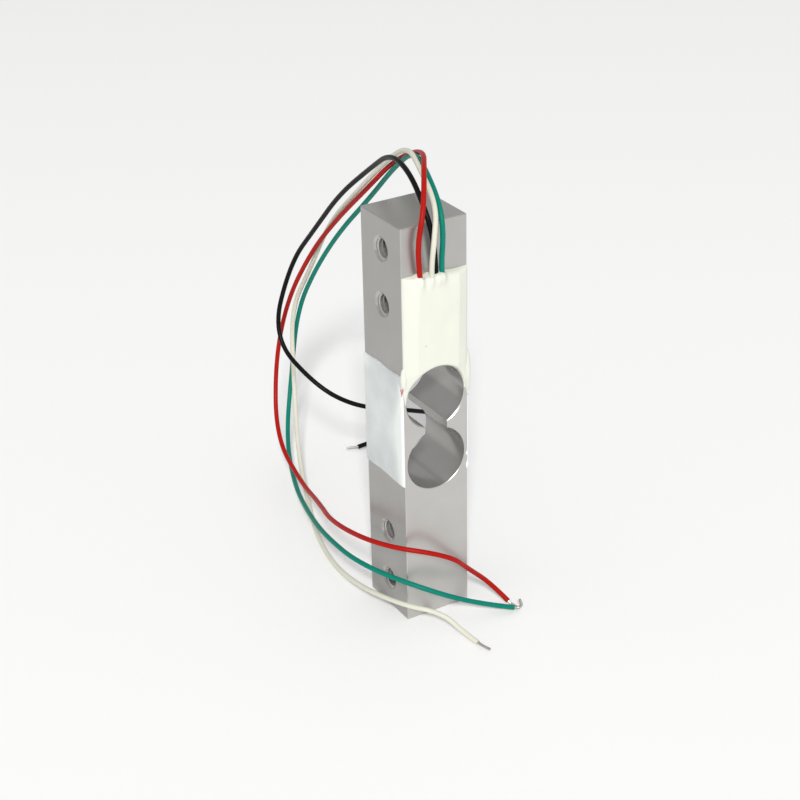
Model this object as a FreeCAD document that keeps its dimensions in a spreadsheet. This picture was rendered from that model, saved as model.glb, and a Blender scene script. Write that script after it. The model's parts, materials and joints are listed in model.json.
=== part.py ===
"""Single point load cell: a square aluminium bar with a binocular cut-out, four bonded strain gauges,
two gauge coatings, a coated solder terminal and four loose colour-coded leads.

Frame, in millimetres: the bar stands on its load end. +Z runs up the bar to the end that the leads leave,
the binocular cut-out runs through along Y, and the four tapped holes run through along X. The origin is
the centre of the bottom end face. Gauges sit on the left (-X) and right (+X) faces, the solder terminal
on the front (-Y) face.
"""
import FreeCAD, Part
import math
import os
import Sketcher

Vector = FreeCAD.Vector

# alias, value, meaning
DIMENSIONS = [
    ("bar_width", 12.7, "side of the square bar"),
    ("bar_length", 75.0, "length of the bar"),
    ("edge_break", 0.15, "chamfer on the bar's outer edges"),
    ("cutout_radius", 5.75, "radius of each round of the binocular cut-out"),
    ("cutout_spacing", 12.0, "distance between the two rounds"),
    ("cutout_middle", 37.25, "height of the middle of the cut-out"),
    ("slot_width", 4.4, "width of the slot that joins the two rounds"),
    ("hole_drill", 3.3, "tapping drill of the M4 holes"),
    ("hole_mouth", 4.5, "diameter of the countersink at each mouth"),
    ("mouth_angle", 120.0, "included angle of the countersink"),
    ("mouth_depth", 1.0, "depth drilled from the right face for its countersink"),
    ("end_margin", 5.5, "from each end face to the nearest hole"),
    ("hole_spacing", 10.0, "distance between the two holes of an end"),
    ("coat_bottom", 27.3, "lower border of the side coatings"),
    ("coat_height", 21.0, "height of the side coatings"),
    ("coat_edge", 0.2, "thickness of a side coating at its long borders"),
    ("coat_crown", 0.4, "thickness of a side coating along its middle"),
    ("front_foot", 43.3, "height at which the front coating's two legs end"),
    ("front_left_top", 66.0, "height of the front coating's upper border at the left"),
    ("front_mid_top", 66.4, "height of that border in the middle"),
    ("front_right_top", 65.5, "height of that border at the right"),
    ("front_rim", 5.9, "radius of the front coating's border round the cut-out"),
    ("front_edge", 0.45, "thickness of the front coating at its long borders"),
    ("front_crown", 2.0, "thickness of the front coating along its middle"),
    ("border_round", 0.25, "rounding of the front coating's upper border"),
    ("lump_reach", 0.95, "how far the coating's lump stands off the right face"),
    ("lump_depth", 1.1, "half width of the lump along Y"),
    ("lump_half", 3.3, "half height of the lump"),
    ("lump_inset", 5.5, "lump's centre, in front of the bar's middle plane"),
    ("lump_level", 46.0, "height of the lump's centre"),
    ("film_width", 3.4, "width of a gauge's carrier film"),
    ("film_length", 5.6, "length of a gauge's carrier film"),
    ("film_gauge", 0.06, "thickness of the carrier film"),
    ("foil_gauge", 0.04, "thickness of the foil grid"),
    ("grid_length", 2.8, "length of the foil grid's strands"),
    ("strand_pitch", 0.3, "pitch of the strands"),
    ("slot_gap", 0.12, "gap between two strands"),
    ("turn_width", 0.2, "width of the loops that join the strands"),
    ("tab_width", 1.0, "width of a solder tab"),
    ("tab_length", 0.9, "length of a solder tab"),
    ("tab_margin", 0.3, "film left beyond the solder tabs"),
    ("neck_length", 0.25, "length of the neck between grid and tab"),
    ("dot_radius", 0.36, "radius of a solder dot on a gauge tab"),
    ("dot_height", 0.12, "height of that solder dot"),
    ("jumper_radius", 0.07, "half thickness of the enamelled jumper wire"),
    ("board_width", 10.4, "width of the terminal board"),
    ("board_height", 6.0, "height of the terminal board"),
    ("board_bottom", 56.4, "height of the terminal board's lower edge"),
    ("board_gauge", 0.2, "thickness of the terminal board"),
    ("pad_gauge", 0.05, "thickness of the copper pads"),
    ("pad_width", 0.8, "width of a copper pad"),
    ("pad_height", 1.7, "height of a copper pad"),
    ("pad_clearance", 0.02, "gap between a jumper and its pad"),
    ("lead_pad_bottom", 60.3, "height of the lower edge of the lead pads"),
    ("jumper_pad_bottom", 56.7, "height of the lower edge of the jumper pads"),
    ("joint_radius", 0.42, "radius of a lead's solder joint"),
    ("joint_rise", 0.36, "height of the joint's middle above its pad"),
    ("joint_length", 1.5, "length of a lead's solder joint"),
    ("joint_bottom", 60.4, "height of the joint's lower end"),
    ("lead_radius", 0.45, "radius of a lead's insulation"),
    ("tail_radius", 0.25, "radius of the tinned strands"),
    ("tail_length", 1.6, "stripped length inside the front coating"),
]

STRANDS = 8
WIRE_SIDES = 8
LEAD_X = {"red": -2.9, "white": -0.95, "black": 0.05, "green": 1.15}
JUMPER_PAD_X = (1.4, 2.7, 4.0)

# The route of each lead's centreline, from its solder joint to its free end.
LEADS = {
    "red": [
        (-2.9, -7.1, 62.6), (-3.5, -7.3, 67.5), (-3.9, -7.7, 72.5), (-2.3, -7.0, 77.5), (1.0, -2.0, 82.5),
        (6.5, 7.0, 82.0), (8.8, 19.9, 76.0), (7.3, 28.5, 67.6), (7.5, 39.0, 59.0), (7.2, 49.5, 48.8),
        (5.5, 58.0, 35.5), (3.5, 61.0, 21.0), (-1.0, 53.5, 8.0), (-3.5, 38.5, 5.5), (-7.0, 24.5, 9.0),
        (-11.5, 11.0, 13.0), (-11.0, -5.0, 16.5), (-0.9, -11.8, 14.6), (4.6, -9.4, 8.6), (9.4, -9.0, 3.8),
        (11.2, -12.3, 1.0),
    ],
    "green": [
        (1.15, -7.1, 62.6), (0.7, -7.3, 67.5), (0.7, -8.1, 72.8), (1.4, -6.2, 77.3), (2.9, 0.5, 81.0),
        (5.8, 8.8, 81.2), (8.1, 18.7, 75.3), (9.3, 30.5, 65.0), (9.0, 41.5, 55.0), (8.5, 51.0, 44.0),
        (8.5, 59.5, 32.0), (9.0, 64.5, 16.5), (3.0, 57.0, 5.0), (-3.0, 42.5, 3.0), (-7.4, 29.0, 5.2),
        (-11.0, 15.5, 8.0), (-12.0, 0.0, 10.0), (-3.5, -11.5, 7.5), (6.0, -12.0, 2.0), (11.0, -14.5, 0.9),
    ],
    "white": [
        (-0.95, -7.15, 62.6), (-1.6, -7.9, 67.6), (-1.6, -9.0, 72.8), (0.5, -6.4, 77.6), (2.0, 1.0, 81.5),
        (5.0, 9.5, 82.0), (7.5, 20.5, 76.0), (8.0, 31.5, 67.0), (8.5, 44.5, 56.0), (8.5, 53.0, 43.5),
        (7.5, 60.5, 32.0), (7.0, 60.0, 17.0), (2.0, 50.0, 5.5), (-3.0, 37.0, 1.5), (-8.0, 23.0, 0.6),
        (-10.5, 8.0, 2.0), (-8.5, -7.0, 4.5), (-3.0, -12.6, 3.9), (-1.1, -16.4, 1.2), (-0.3, -19.8, 0.8),
    ],
    "black": [
        (0.05, -7.1, 62.6), (-0.2, -7.1, 67.4), (-0.9, -7.5, 72.8), (-1.5, -6.4, 77.1), (-0.3, 0.5, 81.5),
        (1.5, 9.5, 81.5), (3.5, 19.5, 75.5), (3.5, 31.0, 67.0), (4.0, 41.5, 57.0), (3.0, 51.0, 46.5),
        (-1.7, 51.3, 31.7), (1.3, 39.2, 25.1), (7.8, 35.4, 20.5), (15.5, 33.0, 18.4), (28.8, 34.8, 12.6),
        (32.9, 44.1, 1.2), (24.5, 50.5, 0.6), (17.5, 52.5, 0.6),
    ],
}

# The bare strands past each lead's free end: the straight stub, then the rest of their route.
TIPS = {
    "red": (0.7, [(11.9, -14.4, 0.5)]),
    "green": (0.8, [(12.3, -15.1, 1.3), (11.9, -14.9, 2.5)]),
    "white": (1.2, [(0.5, -22.4, 0.6)]),
    "black": (1.1, [(15.2, 53.4, 0.5)]),
}

doc = FreeCAD.newDocument("single_point_load_cell")
sheet = doc.addObject("Spreadsheet::Sheet", "dims")
for row, (alias, value, meaning) in enumerate(DIMENSIONS, start=1):
    sheet.set(f"A{row}", alias)
    sheet.set(f"B{row}", str(value))
    sheet.set(f"C{row}", meaning)
    sheet.setAlias(f"B{row}", alias)
doc.recompute()

parts = {}


def cell(alias):
    return float(getattr(sheet, alias))


def keep(node, feature):
    """The finished sub-part of this name."""
    feature.Label = node
    parts[node] = feature
    return feature


def new_body(name):
    return doc.addObject("PartDesign::Body", name)


def new_sketch(body, name, role, offset=None):
    """A sketch on one of the body's origin planes, moved along its normal by the offset expression."""
    plane = next(item for item in body.Origin.OriginFeatures if item.Role == role)
    sketch = body.newObject("Sketcher::SketchObject", name)
    sketch.AttachmentSupport = [(plane, "")]
    sketch.MapMode = "FlatFace"
    if offset:
        sketch.setExpression("AttachmentOffset.Base.z", offset)
    return sketch


def bind(sketch, constraint, name, expression):
    """Adds a named dimension to the sketch and ties it to the sheet."""
    index = sketch.addConstraint(constraint)
    sketch.renameConstraint(index, name)
    sketch.setExpression(f"Constraints.{name}", expression)


def chain(sketch, *lines):
    """Joins each line's or arc's end to the next one's start; each item is (index, first point, last point)."""
    for (one, _, last), (two, first, _) in zip(lines, lines[1:] + lines[:1]):
        sketch.addConstraint(Sketcher.Constraint("Coincident", one, last, two, first))


def line(sketch, start, end):
    return sketch.addGeometry(Part.LineSegment(Vector(*start, 0), Vector(*end, 0)))


def arc_through(sketch, start, middle, end):
    """An arc through three points. Returns its index and whether it starts at the first of them."""
    arc = Part.Arc(Vector(*start, 0), Vector(*middle, 0), Vector(*end, 0))
    index = sketch.addGeometry(arc)
    forward = sketch.getPoint(index, 1).distanceToPoint(Vector(*start, 0)) < 1e-6
    return index, (1, 2) if forward else (2, 1)


def box(name, sizes, corner):
    """A box whose sizes and corner are expressions."""
    feature = doc.addObject("Part::Box", name)
    for prop, expression in zip(("Length", "Width", "Height"), sizes):
        feature.setExpression(prop, expression)
    for axis, expression in zip("xyz", corner):
        feature.setExpression(f"Placement.Base.{axis}", expression)
    return feature


def fuse(name, shapes):
    feature = doc.addObject("Part::MultiFuse", name)
    feature.Shapes = shapes
    return feature


def compound(name, links):
    feature = doc.addObject("Part::Compound", name)
    feature.Links = links
    return feature


def cut(name, base, tool):
    feature = doc.addObject("Part::Cut", name)
    feature.Base = base
    feature.Tool = tool
    return feature


def rounded_path(points, share=0.45):
    """Straight runs joined by tangent arcs, each arc as large as its two runs allow."""
    corners = [Vector(*point) for point in points]
    edges, radii, last = [], [], corners[0]
    for before, corner, after in zip(corners, corners[1:], corners[2:]):
        inward = (corner - before).normalize()
        outward = (after - corner).normalize()
        turn = inward.getAngle(outward)
        reach = share * min((corner - before).Length, (after - corner).Length)
        radius = reach / math.tan(turn / 2)
        start, end = corner - inward * reach, corner + outward * reach
        centre = corner + (outward - inward).normalize() * (radius / math.cos(turn / 2))
        middle = centre + (corner - centre).normalize() * radius
        edges.append(Part.LineSegment(last, start).toShape())
        edges.append(Part.Arc(start, middle, end).toShape())
        radii.append(radius)
        last = end
    edges.append(Part.LineSegment(last, corners[-1]).toShape())
    return Part.Wire(edges), radii


def ring(centre, onward, radius, sides):
    """A regular polygon round the centre, square to the onward direction."""
    across = onward.cross(Vector(0, 0, 1)).normalize()
    lift = onward.cross(across).normalize()
    angles = [math.pi * (2 * (number % sides) + 1) / sides for number in range(sides + 1)]
    return Part.makePolygon([centre + (across * math.cos(a) + lift * math.sin(a)) * radius for a in angles])


def tube(node, points, radius_cell):
    """A wire swept along the rounded path, with a many-sided section that keeps its faces few."""
    radius = cell(radius_cell)
    path, radii = rounded_path(points)
    start = Vector(*points[0])
    section = Part.Face(ring(start, Vector(*points[1]) - start, radius, WIRE_SIDES))
    feature = doc.addObject("Part::Feature", node)
    feature.Shape = path.makePipe(section)
    share = feature.Shape.Volume / (section.Area * path.Length)
    if abs(share - 1) > 0.001:
        raise ValueError(f"{node} has {share:.4f} of its section times its length")
    print(f"{node}: {path.Length:.1f} mm long, smallest radius {min(radii):.1f} mm")
    return keep(node, feature)


def flat_wire(node, points):
    """A thin enamelled wire of square section along straight runs with mitred corners."""
    corners = [Vector(*point) for point in points]
    square = ring(corners[0], corners[1] - corners[0], cell("jumper_radius"), 4)
    feature = doc.addObject("Part::Feature", node)
    feature.Shape = Part.makePolygon(corners).makePipeShell([square], True, False, 1)
    return keep(node, feature)


def spring_beam():
    """The bar, its binocular cut-out and its four tapped holes."""
    body = new_body("beam_body")
    half = cell("bar_width") / 2
    square = new_sketch(body, "bar_section", "XY_Plane")
    corners = [(-half, -half), (half, -half), (half, half), (-half, half)]
    sides = [line(square, a, b) for a, b in zip(corners, corners[1:] + corners[:1])]
    chain(square, *[(side, 1, 2) for side in sides])
    for side, direction in zip(sides, ("Horizontal", "Vertical", "Horizontal", "Vertical")):
        square.addConstraint(Sketcher.Constraint(direction, side))
    square.addConstraint(Sketcher.Constraint("Symmetric", sides[0], 1, sides[2], 1, -1, 1))
    bind(square, Sketcher.Constraint("DistanceX", sides[0], 1, sides[0], 2, 2 * half), "wide", "dims.bar_width")
    bind(square, Sketcher.Constraint("DistanceY", sides[1], 1, sides[1], 2, 2 * half), "deep", "dims.bar_width")
    bar = body.newObject("PartDesign::Pad", "bar")
    bar.Profile = square
    bar.setExpression("Length", "dims.bar_length")
    doc.recompute()

    broken = body.newObject("PartDesign::Chamfer", "edge_break")
    broken.Base = (bar, [f"Edge{n + 1}" for n in range(len(bar.Shape.Edges))])
    broken.setExpression("Size", "dims.edge_break")
    doc.recompute()

    outline = new_sketch(body, "cutout_outline", "XZ_Plane")
    radius, spacing = cell("cutout_radius"), cell("cutout_spacing")
    middle, neck = cell("cutout_middle"), cell("slot_width") / 2
    rise = math.sqrt(radius ** 2 - neck ** 2)
    upper, lower = middle + spacing / 2, middle - spacing / 2
    top, top_ends = arc_through(outline, (neck, upper - rise), (0, upper + radius), (-neck, upper - rise))
    left = line(outline, (-neck, upper - rise), (-neck, lower + rise))
    bottom, bottom_ends = arc_through(outline, (-neck, lower + rise), (0, lower - radius), (neck, lower + rise))
    right = line(outline, (neck, lower + rise), (neck, upper - rise))
    chain(outline, (top, *top_ends), (left, 1, 2), (bottom, *bottom_ends), (right, 1, 2))
    for centre in (top, bottom):
        outline.addConstraint(Sketcher.Constraint("PointOnObject", centre, 3, -2))
    outline.addConstraint(Sketcher.Constraint("Vertical", left))
    outline.addConstraint(Sketcher.Constraint("Vertical", right))
    bind(outline, Sketcher.Constraint("DistanceX", -1, 1, left, 1, -neck), "half_neck", "-dims.slot_width / 2")
    bind(outline, Sketcher.Constraint("Radius", top, radius), "upper_radius", "dims.cutout_radius")
    bind(outline, Sketcher.Constraint("Radius", bottom, radius), "lower_radius", "dims.cutout_radius")
    bind(outline, Sketcher.Constraint("DistanceX", left, 1, right, 2, 2 * neck), "neck", "dims.slot_width")
    bind(outline, Sketcher.Constraint("DistanceY", -1, 1, top, 3, upper), "upper_level",
         "dims.cutout_middle + dims.cutout_spacing / 2")
    bind(outline, Sketcher.Constraint("DistanceY", bottom, 3, top, 3, spacing), "apart", "dims.cutout_spacing")
    binocular = body.newObject("PartDesign::Pocket", "binocular_cutout")
    binocular.Profile = outline
    binocular.Type = "ThroughAll"
    binocular.Midplane = True
    doc.recompute()

    levels = ["dims.end_margin", "dims.end_margin + dims.hole_spacing",
              "dims.bar_length - dims.end_margin - dims.hole_spacing", "dims.bar_length - dims.end_margin"]
    values = [cell("end_margin"), cell("end_margin") + cell("hole_spacing")]
    values += [cell("bar_length") - value for value in reversed(values)]
    for side, sign in (("left", "-"), ("right", "")):
        centres = new_sketch(body, f"{side}_hole_centres", "YZ_Plane", f"{sign}dims.bar_width / 2")
        for number, (level, value) in enumerate(zip(levels, values)):
            ring = centres.addGeometry(Part.Circle(Vector(0, value, 0), Vector(0, 0, 1), cell("hole_drill") / 2))
            centres.addConstraint(Sketcher.Constraint("PointOnObject", ring, 3, -2))
            bind(centres, Sketcher.Constraint("DistanceY", -1, 1, ring, 3, value), f"level_{number}", level)
            bind(centres, Sketcher.Constraint("Diameter", ring, cell("hole_drill")), f"drill_{number}",
                 "dims.hole_drill")
        doc.recompute()
        holes = body.newObject("PartDesign::Hole", f"{side}_holes")
        holes.Profile = centres
        holes.Reversed = side == "left"
        holes.DepthType = "ThroughAll" if side == "left" else "Dimension"
        holes.setExpression("Diameter", "dims.hole_drill")
        holes.setExpression("Depth", "dims.mouth_depth")
        holes.DrillPoint = "Flat"
        holes.HoleCutType = "Countersink"
        holes.HoleCutCustomValues = True
        holes.setExpression("HoleCutDiameter", "dims.hole_mouth")
        holes.setExpression("HoleCutCountersinkAngle", "dims.mouth_angle")
        doc.recompute()
    return keep("spring_beam", body)


def side_coating(side, sign):
    """A thin domed skin over the gauges of one side face, with straight upper and lower borders."""
    body = new_body(f"{side}_coating_body")
    profile = new_sketch(body, f"{side}_coating_section", "XY_Plane", "dims.coat_bottom")
    face = sign * cell("bar_width") / 2
    reach = cell("bar_width") / 2 - cell("edge_break")
    edge, crown = face + sign * cell("coat_edge"), face + sign * cell("coat_crown")
    base = line(profile, (face, -reach), (face, reach))
    back = line(profile, (face, reach), (edge, reach))
    dome, ends = arc_through(profile, (edge, reach), (crown, 0), (edge, -reach))
    front = line(profile, (edge, -reach), (face, -reach))
    chain(profile, (base, 1, 2), (back, 1, 2), (dome, *ends), (front, 1, 2))
    profile.addConstraint(Sketcher.Constraint("Horizontal", back))
    profile.addConstraint(Sketcher.Constraint("Horizontal", front))
    profile.addConstraint(Sketcher.Constraint("Symmetric", base, 1, base, 2, -1))
    bind(profile, Sketcher.Constraint("DistanceX", -1, 1, base, 1, face), "face",
         f"{sign} * dims.bar_width / 2")
    bind(profile, Sketcher.Constraint("DistanceY", base, 1, base, 2, 2 * reach), "across",
         "dims.bar_width - 2 * dims.edge_break")
    bind(profile, Sketcher.Constraint("DistanceX", base, 2, back, 2, edge - face), "border",
         f"{sign} * dims.coat_edge")
    bind(profile, Sketcher.Constraint("DistanceX", base, 1, front, 1, edge - face), "other_border",
         f"{sign} * dims.coat_edge")
    bind(profile, Sketcher.Constraint("Radius", dome, dome_radius("coat_edge", "coat_crown")), "dome",
         DOME.format(edge="dims.coat_edge", crown="dims.coat_crown"))
    skin = body.newObject("PartDesign::Pad", f"{side}_skin")
    skin.Profile = profile
    skin.setExpression("Length", "dims.coat_height")
    doc.recompute()
    return body


DOME = ("((dims.bar_width / 2 - dims.edge_break)^2 + ({crown} - {edge})^2)"
        " / (2 * ({crown} - {edge}))")


def dome_radius(edge, crown):
    """The radius of the arc that rises from edge to crown over half the bar's flat width."""
    rise = cell(crown) - cell(edge)
    return ((cell("bar_width") / 2 - cell("edge_break")) ** 2 + rise ** 2) / (2 * rise)


def front_coating():
    """A thicker domed skin over the solder terminal, down to the rim of the cut-out's upper round."""
    body = new_body("front_coating_body")
    outline = new_sketch(body, "front_outline", "XZ_Plane", "dims.bar_width / 2")
    reach = cell("bar_width") / 2 - cell("edge_break")
    rim, centre = cell("front_rim"), cell("cutout_middle") + cell("cutout_spacing") / 2
    foot = cell("front_foot")
    inner = math.sqrt(rim ** 2 - (foot - centre) ** 2)
    left_top, mid_top, right_top = cell("front_left_top"), cell("front_mid_top"), cell("front_right_top")
    left = line(outline, (-reach, foot), (-reach, left_top))
    top, top_ends = arc_through(outline, (-reach, left_top), (0, mid_top), (reach, right_top))
    right = line(outline, (reach, right_top), (reach, foot))
    right_foot = line(outline, (reach, foot), (inner, foot))
    round_rim, rim_ends = arc_through(outline, (inner, foot), (0, centre + rim), (-inner, foot))
    left_foot = line(outline, (-inner, foot), (-reach, foot))
    chain(outline, (left, 1, 2), (top, *top_ends), (right, 1, 2), (right_foot, 1, 2),
          (round_rim, *rim_ends), (left_foot, 1, 2))
    for upright in (left, right):
        outline.addConstraint(Sketcher.Constraint("Vertical", upright))
    for foot_line in (right_foot, left_foot):
        outline.addConstraint(Sketcher.Constraint("Horizontal", foot_line))
    outline.addConstraint(Sketcher.Constraint("PointOnObject", round_rim, 3, -2))
    bind(outline, Sketcher.Constraint("DistanceX", -1, 1, left, 1, -reach), "left_side",
         "dims.edge_break - dims.bar_width / 2")
    bind(outline, Sketcher.Constraint("DistanceX", -1, 1, right, 1, reach), "right_side",
         "dims.bar_width / 2 - dims.edge_break")
    bind(outline, Sketcher.Constraint("DistanceY", -1, 1, left, 1, foot), "left_foot", "dims.front_foot")
    bind(outline, Sketcher.Constraint("DistanceY", -1, 1, right, 2, foot), "right_foot", "dims.front_foot")
    bind(outline, Sketcher.Constraint("DistanceY", -1, 1, left, 2, left_top), "left_top", "dims.front_left_top")
    bind(outline, Sketcher.Constraint("DistanceY", -1, 1, right, 1, right_top), "right_top",
         "dims.front_right_top")
    bind(outline, Sketcher.Constraint("DistanceY", -1, 1, round_rim, 3, centre), "rim_level",
         "dims.cutout_middle + dims.cutout_spacing / 2")
    bind(outline, Sketcher.Constraint("Radius", round_rim, rim), "rim", "dims.front_rim")
    slab = body.newObject("PartDesign::Pad", "front_slab")
    slab.Profile = outline
    slab.setExpression("Length", "dims.front_crown")
    doc.recompute()

    waste = new_sketch(body, "front_dome", "XY_Plane", "dims.front_foot - 1")
    face = -cell("bar_width") / 2
    edge, crown = face - cell("front_edge"), face - cell("front_crown")
    beyond = crown - 1
    dome, ends = arc_through(waste, (-reach, edge), (0, crown), (reach, edge))
    right_side = line(waste, (reach, edge), (reach, beyond))
    far_side = line(waste, (reach, beyond), (-reach, beyond))
    left_side = line(waste, (-reach, beyond), (-reach, edge))
    chain(waste, (dome, *ends), (right_side, 1, 2), (far_side, 1, 2), (left_side, 1, 2))
    waste.addConstraint(Sketcher.Constraint("Vertical", right_side))
    waste.addConstraint(Sketcher.Constraint("Vertical", left_side))
    waste.addConstraint(Sketcher.Constraint("Horizontal", far_side))
    bind(waste, Sketcher.Constraint("DistanceX", -1, 1, left_side, 1, -reach), "left_side",
         "dims.edge_break - dims.bar_width / 2")
    bind(waste, Sketcher.Constraint("DistanceX", -1, 1, right_side, 1, reach), "right_side",
         "dims.bar_width / 2 - dims.edge_break")
    bind(waste, Sketcher.Constraint("DistanceY", -1, 1, right_side, 1, edge), "right_edge",
         "-dims.bar_width / 2 - dims.front_edge")
    bind(waste, Sketcher.Constraint("DistanceY", -1, 1, left_side, 2, edge), "left_edge",
         "-dims.bar_width / 2 - dims.front_edge")
    bind(waste, Sketcher.Constraint("DistanceY", -1, 1, far_side, 1, beyond), "beyond",
         "-dims.bar_width / 2 - dims.front_crown - 1")
    bind(waste, Sketcher.Constraint("Radius", dome, dome_radius("front_edge", "front_crown")), "dome",
         DOME.format(edge="dims.front_edge", crown="dims.front_crown"))
    shaped = body.newObject("PartDesign::Pocket", "front_dome_cut")
    shaped.Profile = waste
    shaped.Type = "ThroughAll"
    shaped.Reversed = True
    doc.recompute()

    border = body.newObject("PartDesign::Fillet", "upper_border")
    lowest = min(left_top, right_top) - 0.5
    rim_edges = [f"Edge{n + 1}" for n, item in enumerate(shaped.Shape.Edges)
                 if item.BoundBox.ZMin > lowest and item.BoundBox.YMin < edge - 0.5]
    border.Base = (shaped, rim_edges)
    border.setExpression("Radius", "dims.border_round")
    doc.recompute()
    return body


def gauge(name, x_axis, y_axis, z_axis, level):
    """A strain gauge laid on a side face: its carrier film and its foil grid, strands along the bar."""
    rotation = FreeCAD.Rotation(x_axis, y_axis, z_axis)
    side = z_axis.x
    film = box(f"{name}_film_blank", ("dims.film_width", "dims.film_length", "dims.film_gauge"),
               ("-dims.film_width / 2", "-dims.film_length / 2", "0"))
    film_seat = compound(f"{name}_gauge_film", [film])
    grid_width = f"{STRANDS} * dims.strand_pitch"
    grid_bottom = "-dims.film_length / 2 + dims.tab_margin + dims.tab_length + dims.neck_length"
    plate = box(f"{name}_grid", (grid_width, "dims.grid_length", "dims.foil_gauge"),
                (f"-{grid_width} / 2", grid_bottom, "dims.film_gauge"))
    pieces = [plate]
    for mark, sign in (("a", -1), ("b", 1)):
        outer = f"{sign} * {grid_width} / 2"
        neck_x = outer if sign < 0 else f"{outer} - dims.turn_width"
        tab_x = outer if sign < 0 else f"{outer} - dims.tab_width"
        pieces.append(box(f"{name}_neck_{mark}", ("dims.turn_width", "dims.neck_length", "dims.foil_gauge"),
                          (neck_x, f"{grid_bottom} - dims.neck_length", "dims.film_gauge")))
        pieces.append(box(f"{name}_tab_{mark}", ("dims.tab_width", "dims.tab_length", "dims.foil_gauge"),
                          (tab_x, "-dims.film_length / 2 + dims.tab_margin", "dims.film_gauge")))
    slots = []
    for number in range(1, STRANDS):
        shift = "0" if number % 2 else "dims.turn_width"
        slots.append(box(f"{name}_slot_{number}",
                         ("dims.slot_gap", "dims.grid_length - dims.turn_width", "dims.foil_gauge * 3"),
                         (f"-{grid_width} / 2 + {number} * dims.strand_pitch - dims.slot_gap / 2",
                          f"{grid_bottom} + {shift}", "0")))
    foil = cut(f"{name}_gauge_foil", fuse(f"{name}_foil_plate", pieces), compound(f"{name}_slots", slots))
    for piece, node in ((film_seat, f"{name}_gauge_film"), (foil, f"{name}_gauge_foil")):
        piece.Placement = FreeCAD.Placement(Vector(side * cell("bar_width") / 2, 0, level), rotation)
        keep(node, piece)
    return [film_seat, foil]


def tab_centres(side, y_axis, level):
    """The two solder tabs of a gauge, as points on the foil's surface."""
    outward = cell("bar_width") / 2 + cell("film_gauge") + cell("foil_gauge")
    across = STRANDS * cell("strand_pitch") / 2 - cell("tab_width") / 2
    along = -cell("film_length") / 2 + cell("tab_margin") + cell("tab_length") / 2
    return [Vector(side * outward, sign * across, level + y_axis.z * along) for sign in (-1, 1)]


def solder_dots(node, places, side):
    """Low round solder dots, one on each gauge tab."""
    dots = []
    for number, place in enumerate(places):
        dot = doc.addObject("Part::Prism", f"{node}_{number}")
        dot.Polygon = WIRE_SIDES
        dot.setExpression("Circumradius", "dims.dot_radius")
        dot.setExpression("Height", "dims.dot_height")
        dot.Placement = FreeCAD.Placement(place, FreeCAD.Rotation(Vector(0, 0, 1), Vector(side, 0, 0)))
        dots.append(dot)
    return compound(node, dots)


def jumpers(side_name, side, upper_tabs, lower_tabs):
    """Three enamelled wires from one half bridge, round the front edge of the bar to the terminal."""
    depth = cell("bar_width") / 2
    skin = depth + cell("film_gauge") + cell("foil_gauge") + cell("jumper_radius") + cell("pad_clearance")
    on_pad = depth + cell("board_gauge") + cell("pad_gauge") + cell("jumper_radius") + cell("pad_clearance")
    bends = (
        (upper_tabs[0], [(-3.6, 42.2)], 0.9, JUMPER_PAD_X[2]),
        (lower_tabs[1], [(-0.9, 34.6), (-3.9, 35.8)], 0.0, JUMPER_PAD_X[1]),
        (lower_tabs[0], [(-3.3, 33.6), (-4.5, 35.4)], -0.9, JUMPER_PAD_X[0]),
    )
    wires = []
    for number, (tab, along, lift, pad) in enumerate(bends, start=1):
        route = [(side * skin, tab.y, tab.z)]
        route += [(side * skin, y, z) for y, z in along]
        route += [
            (side * (depth + 0.12), -5.1, 43.0 + lift),
            (side * (depth + 0.22), -depth - 0.22, 47.4 + lift),
            (side * (depth - 0.45), -depth - 0.2, 49.4 + lift),
            (side * (pad + 0.3), -depth - 0.3, 54.0),
            (side * pad, -on_pad, 57.0),
            (side * pad, -on_pad, 58.0),
        ]
        wires.append(flat_wire(f"{side_name}_jumper_{number}", route))
    return wires


def terminal():
    """The solder terminal: a thin board with four lead pads above six jumper pads."""
    front = "-dims.bar_width / 2 - dims.board_gauge"
    board = box("terminal_board", ("dims.board_width", "dims.board_gauge", "dims.board_height"),
                ("-dims.board_width / 2", front, "dims.board_bottom"))
    spots = [(x, "dims.lead_pad_bottom") for x in LEAD_X.values()]
    spots += [(side * x, "dims.jumper_pad_bottom") for side in (-1, 1) for x in JUMPER_PAD_X]
    pads = [box(f"pad_{number}", ("dims.pad_width", "dims.pad_gauge", "dims.pad_height"),
                (f"{x} - dims.pad_width / 2", f"{front} - dims.pad_gauge", level))
            for number, (x, level) in enumerate(spots)]
    keep("terminal_board", board)
    keep("terminal_pads", compound("terminal_pad_set", pads))
    return [board] + pads


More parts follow.
